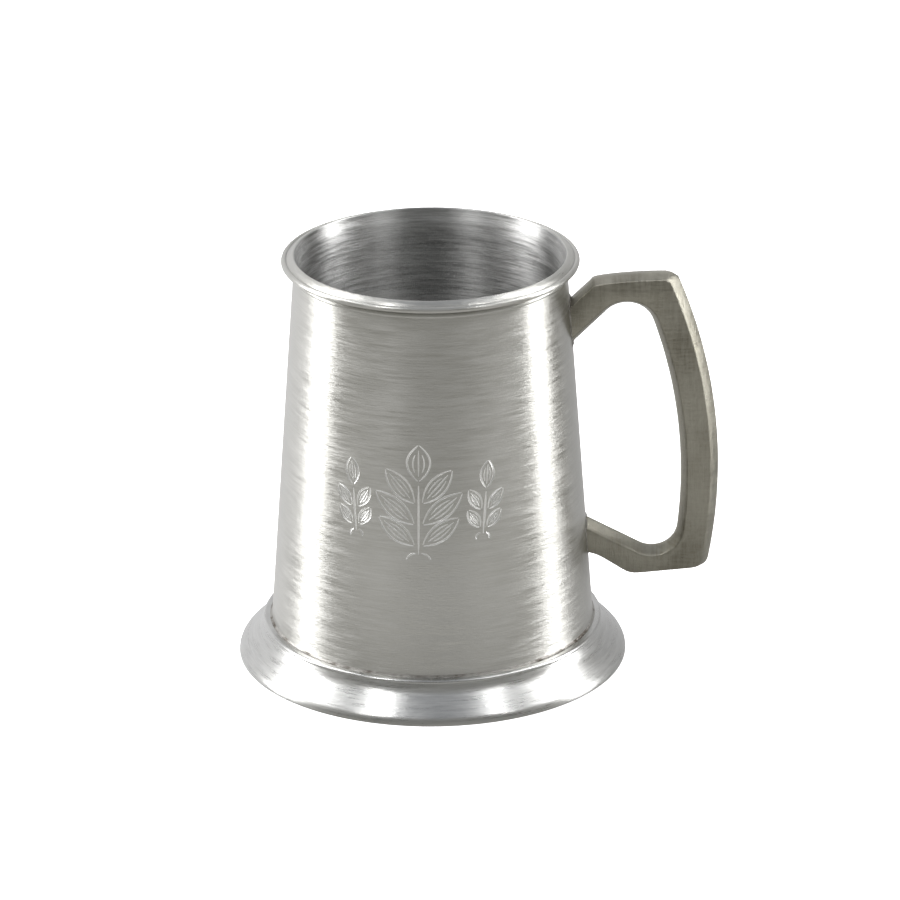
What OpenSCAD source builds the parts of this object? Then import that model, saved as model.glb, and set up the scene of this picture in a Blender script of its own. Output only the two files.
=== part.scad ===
// One-pint pewter tankard: spun wall and foot, let-in floor, cast D handle, all soft-soldered.
// Units are millimetres, +Z is up, the origin is the middle of the foot, on the table.
// The handle stands out along +X.

/* [Wall] */

// outside radius of the wall at its lower end
wall_r_low = 46.8; // [30:0.1:70]
// outside radius of the wall just under the lip
wall_r_high = 38.7; // [25:0.1:60]
// height of the wall's lower end
wall_z_low = 5.8; // [3:0.1:12]
// height where the lip starts to turn out
wall_z_high = 117.3; // [60:0.1:200]
// thickness of the pewter sheet of the wall
wall_t = 1.4; // [0.8:0.1:3]

/* [Lip] */

// outside radius of the lip
lip_r = 42.2; // [30:0.05:65]
// radius of the bead round the lip's outer edge
lip_bead_r = 0.85; // [0.6:0.05:2]
// height of the middle of the bead
lip_bead_z = 119.35; // [60:0.05:200]
// radius of the mouth at the lip's inner edge
mouth_r = 38.3; // [25:0.05:60]
// height of the lip's inner edge, the highest point of the wall
mouth_z = 121.2; // [60:0.05:200]
// radius of the rounding on the inner edge
mouth_edge_r = 0.45; // [0.2:0.05:1]

/* [Rim band] */

// how far the band stands out from the wall
band_t = 0.8; // [0.3:0.05:2]
// height of the band's lower edge
band_z = 116.1; // [60:0.1:200]
// height of the band
band_h = 1.5; // [0.6:0.1:6]

/* [Floor] */

// height of the drinking floor above the table
floor_z = 10; // [6:0.1:20]
// thickness of the floor disc
floor_t = 1.4; // [0.8:0.1:3]
// width of the solder fillet round the floor
floor_fillet = 0.9; // [0.4:0.1:2]

/* [Foot] */

// outside radius of the foot, at the table
foot_r = 56; // [40:0.5:90]
// thickness of the foot's sheet
foot_t = 1.3; // [0.8:0.1:3]
// radius of the foot's rounded outer edge
edge_r = 3.2; // [1.5:0.1:6]
// height of the middle of the rounded edge
edge_z = 0.2; // [0:0.1:3]
// slope of the skirt between its edge and the cove, in degrees
skirt_slope = 45; // [30:1:60]
// distance from the axis where the skirt runs into the cove
cove_start = 50.5; // [49:0.1:54]
// radius of the hollow cove above the skirt
cove_r = 6; // [2:0.1:10]
// outside radius of the collar that grips the wall
collar_r = 48.9; // [40:0.1:80]
// height of the collar's top
collar_z = 10.9; // [6:0.1:20]
// radius of the rounding on the collar's top edge
collar_edge_r = 0.8; // [0.3:0.1:1.5]
// width of the solder fillet between collar and wall
foot_fillet = 0.6; // [0.3:0.1:2]

/* [Handle] */

// thickness of the handle across
handle_t = 8.6; // [5:0.1:16]
// radius of the long curve of the handle's back
back_r = 150; // [80:1:300]
// how far the handle's back stands out from the axis
back_reach = 82.1; // [60:0.1:120]
// height where the back stands out furthest
back_z = 55.5; // [30:0.5:90]
// depth of the grip from back to inside
grip_d = 10.7; // [6:0.1:20]
// slope of the ridged back: fall from the middle to each side
back_fall = 2.4; // [0:0.1:4]
// fall of the top surface from the middle to each side
top_fall = 0.8; // [0:0.1:3]
// fall of the inside surfaces from the middle to each side
inside_fall = 1.9; // [0:0.1:3]
// radius of the slightly bowed top
top_r = 128; // [60:1:300]
// height of the top at its highest
top_z = 115.3; // [60:0.1:200]
// distance from the axis of the highest point of the top
top_x = 66; // [50:0.5:80]
// radius of the upper inside corner
upper_corner_r = 8; // [3:0.1:15]
// height of the middle of the upper inside corner
upper_corner_z = 98.5; // [60:0.1:150]
// radius of the lower inside corner
lower_corner_r = 7.4; // [3:0.1:15]
// height of the middle of the lower inside corner
lower_corner_z = 39.4; // [20:0.1:80]
// slope of the underside of the upper arm, in degrees
upper_arm_slope = 45; // [20:1:70]
// slope of the upper side of the lower arm, in degrees
lower_arm_slope = 27.5; // [10:0.5:60]
// rise of the upper arm's outer side where it leaves the wall, in degrees
upper_arm_rise = 51; // [20:1:75]
// where the upper arm bends level
upper_kink = [46.2, 113.8]; // [40:0.1:120]
// lower arm: where its underside leaves the wall
lower_heel = [46, 30.9]; // [20:0.1:60]
// lower arm: where its underside starts to drop
lower_shoulder = [48.6, 29.4]; // [20:0.1:60]
// lower arm: where its underside bends level
lower_kink = [56.6, 24.2]; // [20:0.1:70]
// lower arm: the outer end of its underside
tail = [77.6, 25.4]; // [20:0.1:90]
// height where the back starts, above the underside's end
tail_z = 28; // [20:0.5:40]

/* [Handle joints] */

// thickness of the solder between handle and wall
solder_t = 0.6; // [0.2:0.1:1.5]
// how far the solder spreads past the handle's end
solder_spread = 0.5; // [0:0.1:2]
// bottom and top of the upper joint
upper_joint = [94.6, 107.6]; // [60:0.1:120]
// bottom and top of the lower joint
lower_joint = [30.7, 40.5]; // [20:0.1:60]

/* [View] */

// sub-part to draw

/* [Hidden] */

$fn = 96;
past = 1;                         // how far a cutter runs past the surface it cuts
far = 300;                        // larger than the whole object
pewter = [0.62, 0.62, 0.60];
cast_pewter = [0.55, 0.54, 0.50];
solder = [0.48, 0.47, 0.45];

wall_slope = (wall_r_low - wall_r_high) / (wall_z_high - wall_z_low);
wall_in_high = wall_r_high - wall_t;
lip_bead_x = lip_r - lip_bead_r;
edge_x = foot_r - edge_r;
web_under = wall_z_low;           // underside of the web between wall and skirt
uphill = 90 - skirt_slope;        // direction square to the skirt, outwards
edge_meets = [edge_x, edge_z] + edge_r * [cos(uphill), sin(uphill)];
cove_meets = [cove_start, edge_meets[1] + (edge_meets[0] - cove_start) * tan(skirt_slope)];
cove_at = cove_meets + cove_r * [cos(uphill), sin(uphill)];
cove_top = cove_at[1] - sqrt(pow(cove_r, 2) - pow(cove_at[0] - collar_r, 2));
half_t = handle_t / 2;
side_reach = half_t + past;       // cutters of the handle run past both its faces
back_x = back_reach - back_r;
inside_r = back_r - grip_d;
inside_z = back_z - 1.5;          // the grip's inside is centred a little lower than its back
upper_corner = [back_x + sqrt(pow(inside_r - upper_corner_r, 2) - pow(upper_corner_z - inside_z, 2)),
                upper_corner_z];
lower_corner = [back_x + sqrt(pow(inside_r - lower_corner_r, 2) - pow(lower_corner_z - inside_z, 2)),
                lower_corner_z];

// outside radius of the wall at a height
function wall_r(z) = wall_r_low - wall_slope * (z - wall_z_low);

// a point at a distance and an angle from a centre
function polar(centre, r, a) = centre + r * [cos(a), sin(a)];

// ---- wall and lip ----

// section of the lip: it slopes down from the mouth's edge to a bead, and is hollow under that
module lip_section() {
    bead = [lip_bead_x, lip_bead_z];
    edge = [mouth_r + mouth_edge_r, mouth_z - mouth_edge_r];
    polygon([[wall_in_high, wall_z_high], [wall_r_high, wall_z_high],
             polar(bead, lip_bead_r, 242), bead, polar(bead, lip_bead_r, 118),
             polar(edge, mouth_edge_r, 62), edge, [mouth_r, edge[1]]]);
    translate(bead) circle(r = lip_bead_r);
    translate(edge) circle(r = mouth_edge_r);
}

module body_shell() {
    color(pewter) rotate_extrude() {
        polygon([[wall_r_low - wall_t, wall_z_low], [wall_r_low, wall_z_low],
                 [wall_r_high, wall_z_high], [wall_in_high, wall_z_high]]);
        lip_section();
    }
}

module rim_band() {
    band_top = band_z + band_h;
    lower_r = wall_r(band_z);
    upper_r = wall_r(band_top);
    color(pewter) rotate_extrude() difference() {
        union() {
            polygon([[lower_r, band_z], [lower_r + band_t / 2, band_z],
                     [upper_r + band_t / 2, band_top], [upper_r, band_top]]);
            translate([wall_r(band_z + band_h / 2) + band_t / 2, band_z + band_h / 2])
                circle(r = band_t / 2);
        }
        polygon([[0, band_z - past], [wall_r(band_z - past), band_z - past],
                 [wall_r(band_top + past), band_top + past], [0, band_top + past]]);
    }
}

// ---- floor ----

module base_disc() {
    color(pewter) translate([0, 0, floor_z - floor_t])
        cylinder(h = floor_t, r1 = wall_r(floor_z - floor_t) - wall_t, r2 = wall_r(floor_z) - wall_t);
}

module base_solder_seam() {
    seam_r = wall_r(floor_z) - wall_t;
    seam_top = floor_z + floor_fillet;
    color(solder) rotate_extrude()
        polygon([[seam_r - floor_fillet, floor_z], [seam_r, floor_z],
                 [wall_r(seam_top) - wall_t, seam_top]]);
}

// ---- foot ----

// section of the foot before the hollow under it is taken away
module foot_outline() {
    edge_at = [edge_x, edge_z];
    collar_edge = [collar_r - collar_edge_r, collar_z - collar_edge_r];
    difference() {
        union() {
            polygon([[wall_r_low - past, 0], [foot_r, 0], [foot_r, edge_z], edge_at, edge_meets,
                     cove_meets, [collar_r, cove_top], [collar_r, collar_edge[1]], collar_edge,
                     [collar_edge[0], collar_z], [wall_r_low - past, collar_z]]);
            intersection() {
                translate(edge_at) circle(r = edge_r);
                translate(edge_at) square(edge_r);
            }
            translate(collar_edge) circle(r = collar_edge_r);
        }
        translate(cove_at) circle(r = cove_r);
    }
}

// section of the hollow under the foot
module foot_hollow() {
    inner_r = edge_r - foot_t;
    edge_at = [edge_x, edge_z];
    inner_meets = edge_at + inner_r * [cos(uphill), sin(uphill)];
    web_meets = [inner_meets[0] - (web_under - inner_meets[1]) / tan(skirt_slope), web_under];
    translate(edge_at) circle(r = inner_r);
    polygon([[0, -past], [edge_x + inner_r, -past], [edge_x + inner_r, edge_z], edge_at,
             inner_meets, web_meets, [0, web_under]]);
}

module foot_skirt() {
    color(pewter) rotate_extrude() difference() {
        foot_outline();
        foot_hollow();
        polygon([[0, wall_z_low - past], [wall_r(wall_z_low - past), wall_z_low - past],
                 [wall_r(collar_z + past), collar_z + past], [0, collar_z + past]]);
    }
}

module foot_solder_seam() {
    seam_top = collar_z + foot_fillet;
    color(solder) rotate_extrude()
        polygon([[wall_r(collar_z), collar_z], [wall_r(collar_z) + foot_fillet, collar_z],
                 [wall_r(seam_top), seam_top]]);
}

// ---- handle, drawn lying down: X outward, Y up the tankard, Z across the handle ----

// disc whose rim stands out at the middle by `ridge` more than at both faces
module ridged_disc(centre, r, ridge) {
    r_side = r - ridge * side_reach / half_t;
    translate(centre) rotate_extrude()
        polygon([[0, -side_reach], [r_side, -side_reach], [r, 0], [r_side, side_reach], [0, side_reach]]);
}

// everything beyond a line through a point, ridged or (below zero) hollowed
module ridged_side(point, angle, ridge) {
    x_side = ridge * side_reach / half_t;
    translate(point) rotate([0, 0, angle]) rotate([90, 0, 0]) translate([0, 0, -far / 2])
        linear_extrude(height = far)
            polygon([[far, -side_reach], [x_side, -side_reach], [0, 0],
                     [x_side, side_reach], [far, side_reach]]);
}

// the gap for the fingers, wider at both faces than in the middle
module finger_gap() {
    upper_touch = 90 + upper_arm_slope;
    lower_touch = 270 - lower_arm_slope;
    upper_meets = atan2(upper_corner[1] - inside_z, upper_corner[0] - back_x);
    lower_meets = atan2(lower_corner[1] - inside_z, lower_corner[0] - back_x);
    clear = 2 * upper_corner_r;
    into_wall = 60;
    ridged_disc(upper_corner, upper_corner_r, -inside_fall);
    ridged_disc(lower_corner, lower_corner_r, -inside_fall);
    intersection() {
        translate([0, 0, -side_reach]) linear_extrude(height = 2 * side_reach)
            polygon([upper_corner, polar(upper_corner, into_wall, upper_touch),
                     polar(lower_corner, into_wall, lower_touch), lower_corner,
                     polar(lower_corner, clear, lower_meets), polar(upper_corner, clear, upper_meets)]);
        ridged_disc([back_x, inside_z], inside_r, -inside_fall);
        ridged_side(polar(upper_corner, upper_corner_r, upper_touch), upper_touch + 180, -inside_fall);
        ridged_side(polar(lower_corner, lower_corner_r, lower_touch), lower_touch - 180, -inside_fall);
    }
}

// side view of the casting, before its back and top are curved and the gap is cut
module casting_outline() {
    into_wall = 30;
    polygon([[into_wall, upper_kink[1] - (upper_kink[0] - into_wall) * tan(upper_arm_rise)],
             upper_kink, [upper_kink[0], top_z], [back_reach, top_z], [back_reach, tail_z],
             tail, lower_kink, lower_shoulder, lower_heel, [into_wall, lower_heel[1]]]);
}

module handle() {
    color(cast_pewter) difference() {
        rotate([90, 0, 0]) difference() {
            intersection() {
                translate([0, 0, -half_t]) linear_extrude(height = handle_t) casting_outline();
                ridged_disc([back_x, back_z], back_r, back_fall);
                ridged_disc([top_x, top_z - top_r], top_r, top_fall);
            }
            finger_gap();
        }
        translate([0, 0, wall_z_low])
            cylinder(h = wall_z_high - wall_z_low, r1 = wall_r_low + solder_t, r2 = wall_r_high + solder_t);
    }
}

// solder between the wall and one end of the handle; the gap side is shaped like the handle
module handle_joint(z_low, z_high, fall_low, fall_high) {
    side = half_t + solder_spread;
    color(solder) intersection() {
        rotate_extrude()
            polygon([[wall_r(z_low - far / 100), z_low - far / 100],
                     [wall_r(z_low - far / 100) + solder_t, z_low - far / 100],
                     [wall_r(z_high + far / 100) + solder_t, z_high + far / 100],
                     [wall_r(z_high + far / 100), z_high + far / 100]]);
        rotate([90, 0, 90]) linear_extrude(height = far)
            polygon([[-side, z_low + fall_low], [0, z_low], [side, z_low + fall_low],
                     [side, z_high - fall_high], [0, z_high], [-side, z_high - fall_high]]);
    }
}

module handle_solder_upper() {
    handle_joint(upper_joint[0] - solder_spread, upper_joint[1] + solder_spread, inside_fall, 0);
}

module handle_solder_lower() {
    handle_joint(lower_joint[0] - solder_spread, lower_joint[1] + solder_spread, 0, inside_fall);
}

body_shell();
rim_band();
base_disc();
base_solder_seam();
foot_skirt();
foot_solder_seam();
handle();
handle_solder_upper();
handle_solder_lower();
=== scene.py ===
# A one-pint pewter tankard. Metres, +Z up, handle towards +X, ornament towards the front.
import math

import bmesh
import bpy
from mathutils import Matrix, Quaternion, Vector


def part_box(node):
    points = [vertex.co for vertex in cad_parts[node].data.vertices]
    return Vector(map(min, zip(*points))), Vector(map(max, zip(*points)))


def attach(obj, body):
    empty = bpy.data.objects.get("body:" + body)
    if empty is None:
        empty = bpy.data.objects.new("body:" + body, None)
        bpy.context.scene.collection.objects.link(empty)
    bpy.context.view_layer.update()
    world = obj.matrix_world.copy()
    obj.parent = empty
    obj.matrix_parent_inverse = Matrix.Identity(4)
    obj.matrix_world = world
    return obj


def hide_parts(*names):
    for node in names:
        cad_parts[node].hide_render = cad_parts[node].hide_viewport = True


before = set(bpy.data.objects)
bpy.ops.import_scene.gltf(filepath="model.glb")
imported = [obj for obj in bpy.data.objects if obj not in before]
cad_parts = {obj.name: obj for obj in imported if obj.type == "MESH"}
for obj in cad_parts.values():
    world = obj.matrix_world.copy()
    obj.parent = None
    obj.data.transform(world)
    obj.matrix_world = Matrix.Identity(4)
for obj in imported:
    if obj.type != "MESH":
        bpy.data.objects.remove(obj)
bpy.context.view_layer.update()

MM = 0.001


# ---- Wall ----
# The wall is one sheet of pewter, spun to a taper on a lathe and turned out at the top into a
# lip with a rolled edge. It is brushed round and round outside, and more coarsely inside.

wall_low, wall_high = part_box("body_shell")
WALL_T = 1.4 * MM
WALL_FOOT_R = 46.8 * MM
WALL_TOP_R = 38.7 * MM
WALL_TOP_Z = 117.3 * MM
LIP_R = 42.2 * MM
LIP_BEAD_R = 0.85 * MM
LIP_BEAD_Z = 119.35 * MM
MOUTH_R = 38.3 * MM
MOUTH_EDGE_R = 0.45 * MM
mouth_z = wall_high[2]
TURNS = 288


def wall_radius(z):
    """Outside radius of the tapered wall at a height."""
    share = (z - wall_low[2]) / (WALL_TOP_Z - wall_low[2])
    return WALL_FOOT_R + (WALL_TOP_R - WALL_FOOT_R) * share


def arc(centre, radius, start, end, steps):
    """Points of an outline along part of a circle, with its angles in degrees."""
    angles = [math.radians(start + (end - start) * i / steps) for i in range(steps + 1)]
    return [(centre[0] + radius * math.cos(a), centre[1] + radius * math.sin(a)) for a in angles]


def run(start, end, steps):
    """Points of an outline along a straight stretch, without its last one."""
    return [(start[0] + (end[0] - start[0]) * i / steps, start[1] + (end[1] - start[1]) * i / steps)
            for i in range(steps)]


def as_object(bm, name, crease=32):
    """A finished mesh becomes a piece that rides on the tankard, smooth but for its real edges."""
    for face in bm.faces:
        face.smooth = True
    for edge in bm.edges:
        if len(edge.link_faces) == 2:
            edge.smooth = edge.calc_face_angle(0) < math.radians(crease)
    mesh = bpy.data.meshes.new(name)
    bm.to_mesh(mesh)
    bm.free()
    piece = bpy.data.objects.new(name, mesh)
    bpy.context.collection.objects.link(piece)
    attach(piece, "root")
    return piece


def spun(outline, closed=True):
    """A mesh made by turning an outline of (radius, height) points on the tankard's axis."""
    bm = bmesh.new()
    points = [bm.verts.new((r, 0, z)) for r, z in outline]
    pairs = list(zip(points, points[1:]))
    if closed:
        pairs.append((points[-1], points[0]))
    edges = [bm.edges.new(pair) for pair in pairs]
    bmesh.ops.spin(bm, geom=points + edges, axis=(0, 0, 1), cent=(0, 0, 0),
                   angle=math.tau, steps=TURNS, use_merge=True)
    bmesh.ops.remove_doubles(bm, verts=bm.verts, dist=1e-7)
    bmesh.ops.recalc_face_normals(bm, faces=bm.faces)
    return bm


class Value:
    """A number or vector inside a finish, on which arithmetic adds the nodes it needs."""

    def __init__(self, finish, socket):
        self.finish = finish
        self.socket = socket

    def maths(self, operation, other, reflected=False):
        """Adds a Math node on this value and another, the other way round if reflected."""
        pair = (other, self) if reflected else (self, other)
        return self.finish.add("ShaderNodeMath", {"operation": operation}, {0: pair[0], 1: pair[1]})

    def __add__(self, other):
        return self.maths("ADD", other)

    def __radd__(self, other):
        return self.maths("ADD", other, True)

    def __sub__(self, other):
        return self.maths("SUBTRACT", other)

    def __rsub__(self, other):
        return self.maths("SUBTRACT", other, True)

    def __mul__(self, other):
        return self.maths("MULTIPLY", other)

    def __rmul__(self, other):
        return self.maths("MULTIPLY", other, True)

    def between(self, low, high):
        """0 below low, 1 above high, and a smooth step between them."""
        return self.finish.add("ShaderNodeMapRange", {"interpolation_type": "SMOOTHSTEP"},
                               {"Value": self, "From Min": low, "From Max": high})


class Finish:
    """A metal finish being mixed: its nodes, and the shader that they feed."""

    def __init__(self, name, **constants):
        self.material = bpy.data.materials.new(name)
        self.material.use_nodes = True
        self.tree = self.material.node_tree
        self.shader = self.tree.nodes["Principled BSDF"]
        for socket, value in constants.items():
            self.shader.inputs[socket.replace("_", " ")].default_value = value

    def add(self, kind, settings=None, sockets=None, output=0):
        """Adds a node, with its settings made before its sockets are filled or linked."""
        node = self.tree.nodes.new(kind)
        for name, value in (settings or {}).items():
            setattr(node, name, value)
        for name, value in (sockets or {}).items():
            self.plug(node.inputs[name], value)
        return Value(self, node.outputs[output])

    def plug(self, socket, value):
        """Links a value to a socket, or sets a plain number, vector or colour on it."""
        if isinstance(value, Value):
            self.tree.links.new(value.socket, socket)
        else:
            socket.default_value = value

    def feed(self, socket, value):
        """Gives one of the shader's own sockets a value that changes over the surface."""
        self.plug(self.shader.inputs[socket], value)

    def place(self, scale=(1, 1, 1), turn=(0, 0, 0)):
        """Object coordinates, scaled and turned for a pattern."""
        here = self.add("ShaderNodeTexCoord", output=3)
        return self.add("ShaderNodeMapping", {}, {"Vector": here, "Scale": scale, "Rotation": turn})

    def noise(self, where, size, detail=3, roughness=0.55):
        """Cloudy noise whose features are about 1/size of the place's units across."""
        return self.add("ShaderNodeTexNoise", {}, {"Vector": where, "Scale": size, "Detail": detail,
                                                   "Roughness": roughness})

    def blend(self, share, low, high):
        """A colour between two others, by a share from 0 to 1."""
        return self.add("ShaderNodeMix", {"data_type": "RGBA"},
                        {"Factor": share, 6: low, 7: high}, output=2)

    def relief(self, height, depth):
        """Raises or cuts the surface by height times depth, in metres."""
        self.feed("Normal", self.add("ShaderNodeBump", {}, {"Strength": 1.0, "Distance": depth,
                                                            "Height": height}))


def brushed_pewter(name, pale, dark, roughness, fine, relief,
                   anisotropy=0.8, uneven=0.24, tilt=(0, 0, 0)):
    """Pewter brushed on the lathe: fine level scratches, uneven gloss and a slight cloudy bloom.

    fine is the number of scratches to a metre of height, relief their depth in metres, uneven
    how far the gloss varies between them, and tilt how far they lie off level.
    """
    finish = Finish(name, Metallic=1.0, Anisotropic=anisotropy, Anisotropic_Rotation=0.25)
    scratches = finish.noise(finish.place((110, 110, fine), tilt), 1.0, detail=4, roughness=0.7)
    strokes = finish.noise(finish.place((70, 70, fine * 0.3), tilt), 1.0, detail=3)
    bloom = finish.noise(finish.place(), 38, detail=3)
    dapple = finish.noise(finish.place((560, 560, 2400), tilt), 1.0, detail=2)
    streaks = scratches.between(0.35, 0.65) * 0.55 + strokes.between(0.3, 0.7) * 0.45
    shade = streaks * 0.7 + bloom.between(0.3, 0.7) * 0.3
    finish.feed("Base Color", finish.blend(shade, dark, pale))
    finish.feed("Roughness", roughness + (streaks - 0.5) * uneven + (bloom - 0.5) * 0.08)
    finish.relief(scratches * 0.15 + strokes * 0.2 + dapple, relief)
    return finish.material


wall_outside = brushed_pewter("brushed pewter, wall",
                              pale=(0.69, 0.685, 0.66, 1), dark=(0.52, 0.515, 0.485, 1),
                              roughness=0.40, fine=2600, relief=0.000065)
wall_inside = brushed_pewter("brushed pewter, inside",
                             pale=(0.74, 0.74, 0.73, 1), dark=(0.36, 0.36, 0.355, 1),
                             roughness=0.44, fine=2800, relief=0.00006, anisotropy=0.93,
                             tilt=(0.2, 0.15, 0))

bead = (LIP_R - LIP_BEAD_R, LIP_BEAD_Z)
mouth_edge = (MOUTH_R + MOUTH_EDGE_R, mouth_z - MOUTH_EDGE_R)
wall_foot = (WALL_FOOT_R, wall_low[2])
wall_top = (WALL_TOP_R, WALL_TOP_Z)
inner_top = (WALL_TOP_R - WALL_T, WALL_TOP_Z)
inner_foot = (WALL_FOOT_R - WALL_T, wall_low[2])
# Steps in radius and height, in millimetres, from the top of the wall, the middle of the bead
# and the middle of the mouth's edge.
LIP_UNDERSIDE = ((0, 0), (0.5, 0.25), (1.3, 0.75))
LIP_GROOVE = ((-0.62, 0.58), (-0.8, 0.86))
MOUTH_THROAT = ((-0.55, -0.6), (-0.8, -1.5), (-1.15, -2.6))


def steps_from(start, steps):
    """Points of an outline at given steps, in millimetres, from a point."""
    return [(start[0] + across * MM, start[1] + up * MM) for across, up in steps]


wall_outline = (
    run(wall_foot, wall_top, 24)
    + steps_from(wall_top, LIP_UNDERSIDE)
    + arc(bead, LIP_BEAD_R, -118, 118, 18)
    + steps_from(bead, LIP_GROOVE)
    + arc(mouth_edge, MOUTH_EDGE_R, 62, 180, 8)
    + steps_from(mouth_edge, MOUTH_THROAT)
    + run(inner_top, inner_foot, 24)
    + [inner_foot])
wall = as_object(spun(wall_outline), "tankard_wall")
wall.data.materials.append(wall_outside)
wall.data.materials.append(wall_inside)
for face in wall.data.polygons:
    outward = Vector((face.center.x, face.center.y, 0)).normalized()
    face.material_index = 1 if face.normal.dot(outward) < -0.5 else 0
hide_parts("body_shell")


# ---- Engraved ornament ----
# Three leafy sprigs are cut into the front of the wall by hand with a graver: shallow, pointed
# cuts that swell in the middle and show bright metal, coloured near white as a painted highlight. They
# are cut before the tankard is used.

ORNAMENT_AZIMUTH = math.radians(-94)
ORNAMENT_Z = 62.4 * MM
CUT_R = 0.37 * MM
CUT_LIFT = 0.12 * MM
STEM_BOW = 0.0001  # a sprig's stem is straight to within this, in millimetres
# The cuts' near-white colour is partly the brighter look of freshly cut metal and partly a painted
# highlight for the light they catch; its fleck noise is a painted glint.
bright_cut_and_highlight = Finish("bright-cut pewter, painted highlight", Metallic=1.0, Roughness=0.45)
painted_glint = bright_cut_and_highlight.noise(bright_cut_and_highlight.place(), 1500).between(0.35, 0.65)
bright_cut_and_highlight.feed("Base Color", bright_cut_and_highlight.blend(painted_glint, (0.93, 0.93, 0.92, 1), (1.0, 1.0, 0.99, 1)))


def curve_points(start, end, bow, steps=12):
    """Points of a shallow bow from start to end, standing off the straight line by bow."""
    start, end = Vector(start), Vector(end)
    along = end - start
    middle = (start + end) / 2 + Vector((along.y, -along.x)).normalized() * bow * 2
    shares = [i / steps for i in range(steps + 1)]
    return [start * (1 - t) ** 2 + middle * 2 * t * (1 - t) + end * t ** 2 for t in shares]


def leaf_cuts(root, tip, width):
    """The cuts of one leaf: its two edges, its midrib and a shading line at each side of that."""
    root, tip = Vector(root), Vector(tip)
    along = tip - root
    across = Vector((along.y, -along.x)).normalized()
    cuts = []
    for side in (-1, 1):
        near = root + along * 0.03 + across * 0.18 * side
        far = tip - along * 0.03 + across * 0.18 * side
        cuts.append((curve_points(near, far, side * width / 2), 1.0))
        near = root + along * 0.26 + across * width * 0.17 * side
        far = root + along * 0.72 + across * width * 0.15 * side
        cuts.append((curve_points(near, far, side * width * 0.1), 0.6))
    cuts.append((curve_points(root + along * 0.16, root + along * 0.84, 0), 0.75))
    return cuts


def sprig_cuts(middle, stem, leaves, top, lean=0):
    """The cuts of a sprig: a stem, pairs of leaves that climb it, and a leaf on top.

    stem is its lowest and highest point, each pair of leaves is its height, its reach and rise
    from there and its width, and top is the last leaf's height and width, in millimetres.
    """
    cuts = [(curve_points((0, stem[0]), (0, stem[1]), STEM_BOW), 1.2)]
    for z, reach, rise, width in leaves:
        for side in (-1, 1):
            cuts += leaf_cuts((side * 1.0, z), (side * reach, z + rise), width)
    cuts += leaf_cuts((0, stem[1] + 0.9), (0, top[0]), top[1])
    root_reach = leaves[-1][1] * 0.36
    for side in (-1, 1):
        root_start = (side * 0.8, stem[0] + 0.3)
        root_end = (side * root_reach, stem[0] - 1.6)
        cuts.append((curve_points(root_start, root_end, side * -0.5), 0.9))
    turned = Matrix.Rotation(math.radians(lean), 2)
    place = Vector((middle, 0))
    return [([turned @ point + place for point in points], weight) for points, weight in cuts]


ornament = sprig_cuts(0, stem=(-15.0, 5.2), top=(17.2, 6.2),
                      leaves=((-12.6, 11.6, 8.2, 4.4), (-6.4, 12.6, 9.4, 4.8), (-0.2, 9.6, 10.0, 4.6)))
for side in (-1, 1):
    ornament += sprig_cuts(side * 19.1, stem=(-9.8, 2.4), top=(11.6, 3.6), lean=side * -4,
                           leaves=((-8.0, 5.0, 5.2, 2.6), (-2.8, 5.2, 6.0, 2.8)))

graver = bpy.data.curves.new("graver path", "CURVE")
graver.dimensions = "3D"
graver.bevel_depth = 1
graver.bevel_resolution = 1
graver.use_fill_caps = True
for points, weight in ornament:
    cut = graver.splines.new("POLY")
    cut.points.add(len(points) - 1)
    for i, point in enumerate(points):
        z = ORNAMENT_Z + point.y * MM
        out = wall_radius(z) + CUT_LIFT
        angle = ORNAMENT_AZIMUTH + point.x * MM / wall_radius(z)
        swell = max(math.sin(math.pi * (i + 0.35) / (len(points) - 0.3)), 0.12) ** 0.6
        cut.points[i].co = (out * math.cos(angle), out * math.sin(angle), z, 1)
        cut.points[i].radius = CUT_R * (0.35 + 0.65 * swell * weight)
graver_path = bpy.data.objects.new("graver path", graver)
bpy.context.collection.objects.link(graver_path)
depsgraph = bpy.context.evaluated_depsgraph_get()
cutter_mesh = bpy.data.meshes.new_from_object(graver_path.evaluated_get(depsgraph))
bpy.data.objects.remove(graver_path)
cutter = bpy.data.objects.new("cutter", cutter_mesh)
bpy.context.collection.objects.link(cutter)
cutter_mesh.materials.clear()
cutter_mesh.materials.append(bright_cut_and_highlight.material)
bm = bmesh.new()
bm.from_mesh(cutter_mesh)
bmesh.ops.remove_doubles(bm, verts=bm.verts, dist=1e-7)
bmesh.ops.recalc_face_normals(bm, faces=bm.faces)
bm.to_mesh(cutter_mesh)
bm.free()

engrave = wall.modifiers.new("engrave", "BOOLEAN")
engrave.operation = "DIFFERENCE"
engrave.solver = "MANIFOLD"
engrave.material_mode = "TRANSFER"
engrave.object = cutter
depsgraph = bpy.context.evaluated_depsgraph_get()
engraved = bpy.data.meshes.new_from_object(wall.evaluated_get(depsgraph))
wall.modifiers.clear()
wall.data = engraved
bpy.data.objects.remove(cutter)

# The cuts break the wall into long thin faces, so its true slope is kept as their normals.
taper = (WALL_FOOT_R - WALL_TOP_R) / (WALL_TOP_Z - wall_low[2])
true_normals = [(0, 0, 0)] * len(engraved.loops)
for face in engraved.polygons:
    cut_face = engraved.materials[face.material_index] == bright_cut_and_highlight.material
    face.use_smooth = not cut_face
    if face.material_index == 0 and not cut_face and face.center.z < WALL_TOP_Z:
        for loop in face.loop_indices:
            at = engraved.vertices[engraved.loops[loop].vertex_index].co
            if at.z < WALL_TOP_Z - 0.5 * MM:
                rise = taper * math.hypot(at.x, at.y)
                true_normals[loop] = Vector((at.x, at.y, rise)).normalized()
engraved.normals_split_custom_set(true_normals)


# ---- Rim band ----
# The rim band is a thin half-round ring of pewter, soldered round the wall just under the lip
# to stiffen the mouth. It is brushed with the wall.

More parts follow.
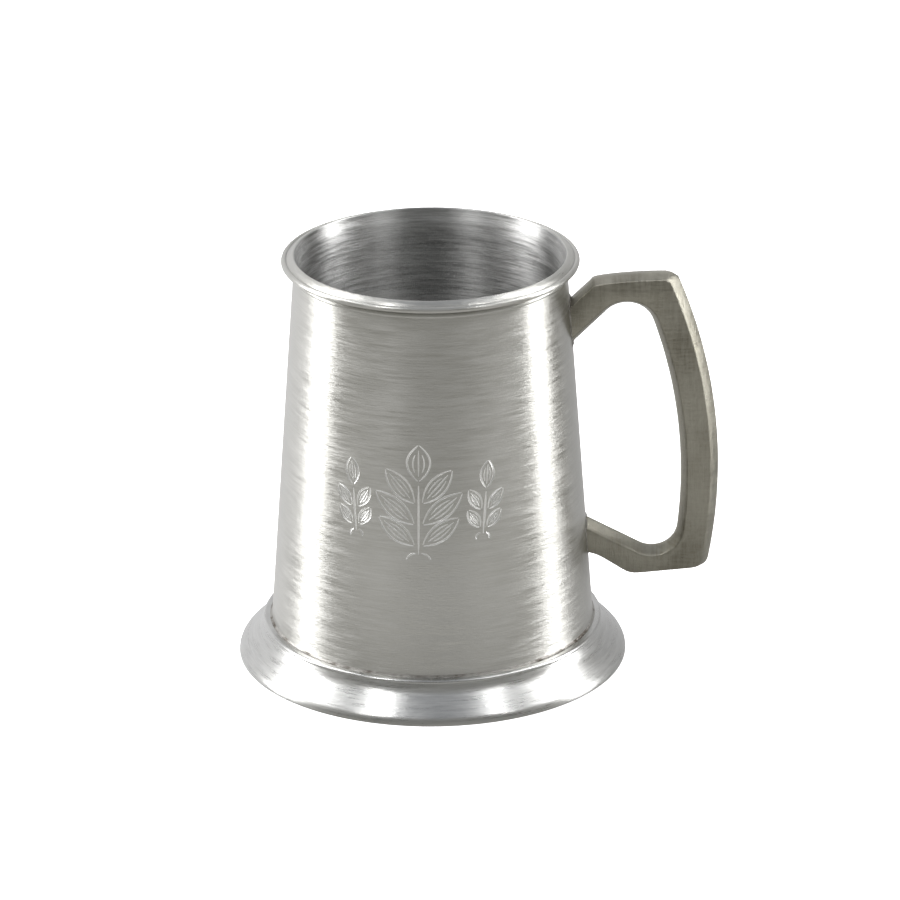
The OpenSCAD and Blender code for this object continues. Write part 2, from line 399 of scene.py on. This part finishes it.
BAND_PROUD = 0.8 * MM
BAND_BITE = 0.1 * MM
band_low, band_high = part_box("rim_band")
band_middle = (band_low[2] + band_high[2]) / 2
band_round = (wall_radius(band_middle) + BAND_PROUD / 2, band_middle)
band_outline = (
    [(wall_radius(band_low[2]) - BAND_BITE, band_low[2])]
    + arc(band_round, (band_high[2] - band_low[2]) / 2 * 0.98, -88, 88, 10)
    + [(wall_radius(band_high[2]) - BAND_BITE, band_high[2])])
rim_band = as_object(spun(band_outline), "rim_band_ring")
rim_band.data.materials.append(wall_outside)
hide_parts("rim_band")


# ---- Drinking floor ----
# The floor is a flat disc of the same pewter sheet as the wall. It is turned on the lathe to
# fit, let into the bottom of the wall and soldered there.

FLOOR_ARRIS = 0.1 * MM
disc_low, disc_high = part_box("base_disc")
floor_r = disc_high[0]
floor_outline = (
    run((0, disc_high[2]), (floor_r - FLOOR_ARRIS, disc_high[2]), 12)
    + [(floor_r - FLOOR_ARRIS, disc_high[2])]
    + [(floor_r, disc_high[2] - FLOOR_ARRIS)]
    + [(floor_r, disc_low[2])]
    + run((floor_r - FLOOR_ARRIS, disc_low[2]), (0, disc_low[2]), 12)
    + [(0, disc_low[2])])
drinking_floor = as_object(spun(floor_outline, closed=False), "drinking_floor")
drinking_floor.data.materials.append(wall_inside)
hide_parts("base_disc")


# ---- Foot ----
# The foot is spun from its own sheet of pewter: a collar that grips the wall, a hollow cove,
# then a straight slope down to the rounded edge the tankard stands on. It is open underneath.

foot_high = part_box("foot_skirt")[1]
FOOT_T = 1.3 * MM
EDGE_R = 3.2 * MM
EDGE_Z = 0.2 * MM
COVE_R = 6 * MM
COVE_START = 50.5 * MM
COLLAR_R = 48.9 * MM
COLLAR_EDGE_R = 0.8 * MM
foot_r = foot_high[0]
collar_top = foot_high[2]
foot_edge = (foot_r - EDGE_R, EDGE_Z)
square_off = math.sqrt(0.5)
cove_start_z = EDGE_Z + 2 * EDGE_R * square_off + foot_edge[0] - COVE_START
cove = (COVE_START + COVE_R * square_off, cove_start_z + COVE_R * square_off)
cove_end = math.degrees(math.acos((cove[0] - COLLAR_R - 0.15 * MM) / COVE_R))
inner_r = EDGE_R - FOOT_T
web_x = foot_edge[0] + 2 * inner_r * square_off - (wall_low[2] - EDGE_Z)
collar_edge = (COLLAR_R - COLLAR_EDGE_R, collar_top - COLLAR_EDGE_R)
slope_end = (foot_edge[0] + EDGE_R * square_off, EDGE_Z + EDGE_R * square_off)
foot_rest = [(foot_r - 0.05 * MM, 0.05 * MM), (foot_r - 0.2 * MM, 0), (foot_r - FOOT_T + 0.1 * MM, 0)]
foot_outline = (
    [(wall_radius(wall_low[2]), wall_low[2]), (wall_radius(collar_top), collar_top)]
    + arc(collar_edge, COLLAR_EDGE_R, 90, -20, 12)
    + arc(cove, COVE_R, 180 + cove_end, 225, 12)
    + run((COVE_START, cove_start_z), slope_end, 6)[1:]
    + arc(foot_edge, EDGE_R, 45, 0, 14)
    + foot_rest
    + arc(foot_edge, inner_r, 0, 45, 8)
    + [(web_x, wall_low[2])])
foot = as_object(spun(foot_outline), "spun_foot")
foot_finish = brushed_pewter("brushed pewter, foot",
                             pale=(0.66, 0.66, 0.65, 1), dark=(0.47, 0.47, 0.46, 1),
                             roughness=0.30, fine=3400, relief=0.00003, anisotropy=0.5,
                             uneven=0.1)
foot.data.materials.append(foot_finish)
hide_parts("foot_skirt")


# ---- Solder seams of the foot and the floor ----
# Soft solder, a duller metal than the pewter, runs into both joints and stands as a small
# hollow fillet in each corner: inside on the floor, and outside on top of the foot's collar.

def soft_solder(name):
    """Soft solder left as it froze: dull, a little lumpy and stained by flux."""
    finish = Finish(name, Metallic=1.0)
    lumps = finish.noise(finish.place(), 900, detail=3)
    stain = finish.noise(finish.place(), 160, detail=3).between(0.45, 0.7)
    finish.feed("Base Color", finish.blend(stain, (0.40, 0.39, 0.37, 1), (0.10, 0.085, 0.07, 1)))
    finish.feed("Roughness", 0.4 + stain * 0.25)
    finish.relief(lumps, 0.00012)
    return finish.material


solder = soft_solder("soft solder")


def corner_fillet(name, node, corner, leg, inward):
    """A small hollow fillet of solder round the tankard, in the corner over a level surface."""
    side = -1 if inward else 1
    sheet = WALL_T if inward else 0
    top = (wall_radius(corner[1] + leg) - sheet, corner[1] + leg)
    outline = [corner, (corner[0] + side * leg, corner[1]),
               (corner[0] + side * leg * 0.35, corner[1] + leg * 0.3), top]
    fillet = as_object(spun(outline), name)
    fillet.data.materials.append(solder)
    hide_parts(node)


corner_fillet("foot_solder_fillet", "foot_solder_seam",
              corner=(wall_radius(collar_top), collar_top), leg=0.6 * MM, inward=False)
corner_fillet("floor_solder_fillet", "base_solder_seam",
              corner=(wall_radius(disc_high[2]) - WALL_T, disc_high[2]), leg=0.9 * MM, inward=True)


# ---- Handle ----
# The handle is one casting, a D with a flat side to left and right. Its back, top and inside
# slope away from a line down the middle, where the two halves of the mould met.

handle_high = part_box("handle")[1]
HALF_T = handle_high[1]
BACK_R = 150 * MM
BACK_Z = 55.5 * MM
BACK_FALL = 2.4 * MM
TOP_FALL = 0.8 * MM
INSIDE_FALL = 1.9 * MM
TOP_R = 128 * MM
TOP = Vector((66, 115.3)) * MM
INSIDE_R = BACK_R - 10.7 * MM
INSIDE_Z = BACK_Z - 1.5 * MM
SIDE_FALL = 0.5 * MM
END_GAP = 0.05 * MM
UPPER_END_Z = 106.6 * MM
UPPER_CROTCH_Z = 95 * MM
LOWER_CROTCH_Z = 40 * MM
LOWER_END_Z = 30.8 * MM
KINK_X = 46.2 * MM
GAP_TOP_R = 8 * MM
GAP_TOP_Z = 98.5 * MM
GAP_LOW_R = 7.4 * MM
GAP_LOW_Z = 39.4 * MM
TAIL_Z = 28.2 * MM
LOWER_ARM_SLOPE = 27.5
UPPER_ARM_NORMAL = 135
# The tail's rounded corner, as steps in from the back and heights, then the underside of the
# lower arm up to the wall, as distances from the axis and heights: all in millimetres.
TAIL_CORNER = ((0.2, 27.5), (0.45, 26.9), (0.85, 26.4), (1.4, 26.1), (2.3, 25.9), (3.6, 25.72))
ARM_UNDERSIDE = ((60, 24.35), (58.4, 24.28), (57.2, 24.4), (56, 24.8), (54.6, 25.6),
                 (52.4, 27.05), (50.4, 28.3), (48.8, 29.3), (47.4, 30.0))
back_x = handle_high[0] - BACK_R


def crossing(centre_a, radius_a, centre_b, radius_b):
    """Where two circles cross, on the side away from the wall."""
    apart = centre_b - centre_a
    along = (radius_a ** 2 - radius_b ** 2 + apart.length_squared) / (2 * apart.length)
    off = math.sqrt(max(radius_a ** 2 - along ** 2, 0))
    unit = apart.normalized()
    crossings = [centre_a + unit * along + Vector((-unit.y, unit.x)) * off * side for side in (-1, 1)]
    return max(crossings, key=lambda point: point.x + point.y)


def bearing(centre, point):
    """Angle of a point seen from a centre, in degrees."""
    return math.degrees(math.atan2(point[1] - centre[1], point[0] - centre[0]))


def inner_corner(radius, z):
    """Middle of a rounded corner of the finger gap that runs smoothly into the grip's curve."""
    return Vector((back_x + math.sqrt((INSIDE_R - radius) ** 2 - (z - INSIDE_Z) ** 2), z))


def on_wall(y, z, gap=0.0):
    """Distance from the axis, along X, of the wall's outside at a place beside the middle line."""
    return math.sqrt(wall_radius(z) ** 2 - y ** 2) + gap


def handle_outline(fall, trim, y):
    """Side outline of the handle, at a distance y beside the middle line.

    fall is 0 on the middle line and 1 at the flat sides. trim is how far the rounding of the
    sides' edges takes the outline in.
    """
    back_centre = Vector((back_x, BACK_Z))
    back_r = BACK_R - BACK_FALL * fall - trim
    top_centre = Vector((TOP.x, TOP.y - TOP_R))
    top_r = TOP_R - TOP_FALL * fall - trim
    inside = INSIDE_FALL * fall + trim
    outside = SIDE_FALL * fall + trim
    corner = crossing(back_centre, back_r, top_centre, top_r)
    kink = Vector((KINK_X, top_centre.y + math.sqrt(top_r ** 2 - (KINK_X - TOP.x) ** 2)))
    upper = inner_corner(GAP_TOP_R, GAP_TOP_Z)
    lower = inner_corner(GAP_LOW_R, GAP_LOW_Z)
    inside_centre = (back_x, INSIDE_Z)

    # Up the upper arm to the kink, along the top, down the back and round the tail.
    upper_end = Vector((on_wall(y, UPPER_END_Z, END_GAP), UPPER_END_Z - outside))
    kink_start = kink - Vector((0.9, 1.1)) * MM
    points = run(upper_end, kink_start, 5)
    points += [kink_start, kink - Vector((0.3, 0.35)) * MM, kink + Vector((0.8, 0.02)) * MM]
    points += arc(top_centre, top_r, bearing(top_centre, kink + Vector((3 * MM, 0))),
                  bearing(top_centre, corner) + 0.45, 12)
    points += arc(back_centre, back_r, bearing(back_centre, corner) - 0.35,
                  math.degrees(math.asin((TAIL_Z - BACK_Z) / back_r)), 40)
    tail_x = points[-1][0]
    raised = Vector((0, outside))
    for back, z in TAIL_CORNER:
        points.append(Vector((tail_x - back * MM, z * MM)) + raised)
    arm_start = Vector(ARM_UNDERSIDE[0]) * MM + raised
    points += run(points[-1], arm_start, 4)[1:]
    points += [Vector(point) * MM + raised for point in ARM_UNDERSIDE]
    points.append(Vector((on_wall(y, LOWER_END_Z, END_GAP), LOWER_END_Z)) + raised)

    # Back along the lower arm, up the inside of the grip and down the upper arm's crotch.
    shoulder = arc(lower, GAP_LOW_R + inside, 270 - LOWER_ARM_SLOPE,
                   360 + bearing(inside_centre, lower), 16)
    arm_x = on_wall(y, LOWER_CROTCH_Z, END_GAP)
    arm_rise = (shoulder[0][0] - arm_x) * math.tan(math.radians(LOWER_ARM_SLOPE))
    points += run((arm_x, shoulder[0][1] + arm_rise), shoulder[0], 6)
    points += shoulder
    points += arc(inside_centre, INSIDE_R + inside, bearing(inside_centre, lower),
                  bearing(inside_centre, upper), 36)[1:-1]
    bend = arc(upper, GAP_TOP_R + inside, bearing(inside_centre, upper), UPPER_ARM_NORMAL, 16)
    points += bend
    arm_x = on_wall(y, UPPER_CROTCH_Z, END_GAP)
    crotch = (arm_x, bend[-1][1] - (bend[-1][0] - arm_x))
    points += run(bend[-1], crotch, 6)[1:]
    points.append(crotch)
    return points


def lofted(rings):
    """A closed mesh whose rings of points are joined one after another and capped."""
    bm = bmesh.new()
    loops = []
    for ring in rings:
        verts = [bm.verts.new(point) for point in ring]
        loops.append([bm.edges.new((a, b)) for a, b in zip(verts, verts[1:] + verts[:1])])
    for near, far in zip(loops, loops[1:]):
        bmesh.ops.bridge_loops(bm, edges=near + far)
    for loop in (loops[0], loops[-1]):
        bmesh.ops.contextual_create(bm, geom=loop)
    bmesh.ops.recalc_face_normals(bm, faces=bm.faces)
    return bm


ARRIS_R = 0.35 * MM
ARRIS_START = 0.92
HANDLE_SLICES = (-1, -0.985, -0.93, -0.75, -0.5, -0.22, 0, 0.22, 0.5, 0.75, 0.93, 0.985, 1)
handle_rings = []
for across in HANDLE_SLICES:
    edge = max(abs(across) - ARRIS_START, 0) / (1 - ARRIS_START)
    trim = ARRIS_R * (1 - math.sqrt(1 - min(edge, 1) ** 2))
    fall = min(abs(across), 0.97) ** 1.25
    y = across * HALF_T
    handle_rings.append([(x, y, z) for x, z in handle_outline(fall, trim, y)])
handle = as_object(lofted(handle_rings), "cast_handle", crease=40)


def cast_pewter(name):
    """Cast pewter rubbed down to a warm, dull satin, with fine lines both ways and small pits."""
    finish = Finish(name, Metallic=1.0)
    rub = finish.noise(finish.place((1300, 90, 170), (0, 0.12, 0)), 1.0, detail=4, roughness=0.7)
    cross_rub = finish.noise(finish.place((240, 90, 1500), (0, 0.35, 0)), 1.0, detail=3)
    pits = finish.noise(finish.place(), 1500, detail=3)
    cloud = finish.noise(finish.place(), 75, detail=4).between(0.3, 0.7)
    lines = rub.between(0.35, 0.65) * 0.6 + cross_rub.between(0.35, 0.65) * 0.4
    finish.feed("Base Color", finish.blend(cloud * 0.4 + lines * 0.4 + pits * 0.2,
                                           (0.22, 0.205, 0.165, 1), (0.47, 0.455, 0.395, 1)))
    finish.feed("Roughness", 0.42 + (lines - 0.5) * 0.2 + (cloud - 0.5) * 0.1)
    finish.relief(lines * 0.5 + pits * 0.5, 0.00012)
    return finish.material


handle.data.materials.append(cast_pewter("cast pewter"))
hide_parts("handle")


# ---- Solder at the handle's ends ----
# Each end of the handle is soldered to the wall. The solder stands in a low ridge all round
# the end, and is left as it froze.

PAD_MARGIN = 0.5 * MM
PAD_CORNER_R = 1.1 * MM
PAD_SPREAD = (0.5 * MM, 0.3 * MM, 0.05 * MM, -0.3 * MM)
PAD_LIFT = (-0.2 * MM, 0.08 * MM, 0.2 * MM, 0.45 * MM)


def handle_pad(name, node):
    """A low pad of solder on the wall: wide where it wets the wall, narrow at the handle."""
    low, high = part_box(node)
    rings = []
    for spread, height in zip(PAD_SPREAD, PAD_LIFT):
        half = high[1] - PAD_MARGIN + spread
        bottom = low[2] + PAD_MARGIN - spread
        top = high[2] - PAD_MARGIN + spread
        r = min(PAD_CORNER_R, half)
        corners = ((half - r, top - r, 0), (r - half, top - r, 90),
                   (r - half, bottom + r, 180), (half - r, bottom + r, 270))
        ring = []
        for corner_y, corner_z, start in corners:
            for y, z in arc((corner_y, corner_z), r, start, start + 90, 6):
                ring.append((on_wall(y, z, height), y, z))
        rings.append(ring)
    pad = as_object(lofted(rings), name, crease=60)
    pad.data.materials.append(solder)
    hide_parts(node)


for end in ("upper", "lower"):
    handle_pad(f"solder_pad_{end}", f"handle_solder_{end}")


# ---- Studio ----
# A lit white table, a tall soft light at each side, a small one high up at each side in front
# and a card on the table, in a room that is dim in front of the tankard and pale behind it.
# The metal mirrors the room, the lights and the card, and not the table.

def softbox(name, place, aim, size, power, lean=0):
    """A rectangular soft light that is mirrored but not itself in the picture.

    place and aim are where it stands and what it faces, size its width and height, all in
    metres, power is in watts, and lean turns it in its own plane, in degrees.
    """
    lamp = bpy.data.lights.new(name, "AREA")
    lamp.shape = "RECTANGLE"
    lamp.size, lamp.size_y = size
    lamp.energy = power
    box = bpy.data.objects.new(name, lamp)
    box.location = place
    facing = (Vector(aim) - Vector(place)).to_track_quat("-Z", "Y")
    box.rotation_euler = (facing @ Quaternion((0, 0, 1), math.radians(lean))).to_euler()
    box.visible_camera = False
    bpy.context.collection.objects.link(box)


SIDE_AIM = (0, 0, 0.35)
STRIP_AIM = (0, 0, 0.1)
softbox("left softbox", (-0.95, 0.13, 0.65), SIDE_AIM, size=(0.42, 1.7), power=14, lean=6)
softbox("right softbox", (0.95, 0.13, 0.65), SIDE_AIM, size=(0.34, 1.7), power=12, lean=-6)
softbox("left strip", (-0.46, -0.48, 0.98), STRIP_AIM, size=(0.08, 0.40), power=1.9)
softbox("right strip", (0.56, -0.44, 0.95), STRIP_AIM, size=(0.06, 0.40), power=1.1)
softbox("low card", (0, -0.12, 0.002), (0, -0.12, 1), size=(0.5, 0.08), power=0.06)

TABLE_HALF = 3
bm = bmesh.new()
bmesh.ops.create_grid(bm, x_segments=1, y_segments=1, size=TABLE_HALF)
table_mesh = bpy.data.meshes.new("table")
bm.to_mesh(table_mesh)
bm.free()
table = bpy.data.objects.new("table", table_mesh)
bpy.context.collection.objects.link(table)
table_finish = Finish("lit white table", Roughness=0.9, Base_Color=(0.9, 0.9, 0.9, 1),
                      Emission_Color=(1, 1, 1, 1), Emission_Strength=0.8)
table.data.materials.append(table_finish.material)
table.visible_glossy = False


class Room(Finish):
    """The room's light, mixed by the direction that it comes from."""

    def __init__(self):
        world = bpy.data.worlds.new("studio")
        bpy.context.scene.world = world
        world.use_nodes = True
        self.tree = world.node_tree
        self.shader = self.tree.nodes["Background"]
        outlook = self.add("ShaderNodeTexCoord", output=0)
        split = self.add("ShaderNodeSeparateXYZ", {}, {0: outlook}).socket.node
        self.across, self.back, self.up = [Value(self, out) for out in split.outputs]


LEFT_WALL = (0.98, 0.98, 0.99, 1)
RIGHT_WALL = (0.46, 0.46, 0.46, 1)
FRONT_WALL = (0.385, 0.38, 0.36, 1)
CEILING = (0.40, 0.42, 0.46, 1)
EYE_LEVEL = (0.20, 0.20, 0.19, 1)
room = Room()
far_wall = room.blend(room.across.between(-0.9, 0.9), LEFT_WALL, RIGHT_WALL)
walls = room.blend(room.back.between(-0.3, 1.0), FRONT_WALL, far_wall)
shell = room.blend(room.up.between(0.6, 0.95) * 0.8, walls, CEILING)
in_front = 1 - room.back.between(-0.75, -0.1)
level = room.up.between(-0.2, 0.15) * (1 - room.up.between(0.55, 0.9))
room.feed("Color", room.blend(in_front * level * 0.75, shell, EYE_LEVEL))

bpy.context.scene.view_settings.view_transform = "Standard"


# ---- Camera ----
# A long lens from the front, looking down past the rim, so that the mouth shows as an oval and
# the handle is seen from its side.

CAMERA_AZIMUTH = math.radians(1)
CAMERA_ELEVATION = math.radians(22.07)
CAMERA_DISTANCE = 1.5345
LENS = 214.3
CAMERA_MIDDLE_Z = 0.06
AIM = Vector((0.0053, 0.0001, 0.0612))
ROLL = math.radians(-0.27)
camera_data = bpy.data.cameras.new("camera")
camera_data.lens = LENS
camera = bpy.data.objects.new("camera", camera_data)
along_floor = CAMERA_DISTANCE * math.cos(CAMERA_ELEVATION)
camera.location = (along_floor * math.sin(CAMERA_AZIMUTH), -along_floor * math.cos(CAMERA_AZIMUTH),
                   CAMERA_MIDDLE_Z + CAMERA_DISTANCE * math.sin(CAMERA_ELEVATION))
look = (AIM - camera.location).to_track_quat("-Z", "Y") @ Quaternion((0, 0, 1), ROLL)
camera.rotation_euler = look.to_euler()
bpy.context.collection.objects.link(camera)
bpy.context.scene.camera = camera
